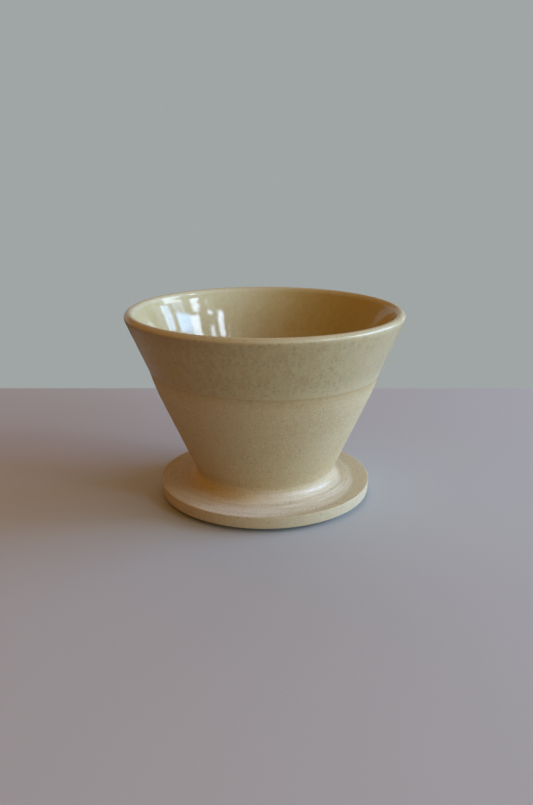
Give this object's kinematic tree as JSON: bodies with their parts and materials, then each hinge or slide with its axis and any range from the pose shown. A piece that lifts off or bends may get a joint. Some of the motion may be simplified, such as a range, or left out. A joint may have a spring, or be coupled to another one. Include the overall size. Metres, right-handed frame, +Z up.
{
  "type": "pour-over coffee dripper",
  "caption": "Flared stoneware coffee dripper: a cone drawn in under its glazed collar, with a rounded lip and a drained floor, on a saucer with a low foot ring.",
  "frame": {"origin": "on the axis of the cone, at the level of the foot ring's underside, where the dripper stands", "axes": "+Z up along the axis of the cone; one drain hole lies towards +Y"},
  "size_m": [0.12, 0.12, 0.0835],
  "materials": {
    "stoneware": "sand-coloured stoneware, satin bare clay outside, clear glossy glaze inside and over the rim band"
  },
  "bodies": {
    "root": {"dripper": "stoneware"}
  },
  "joints": []
}
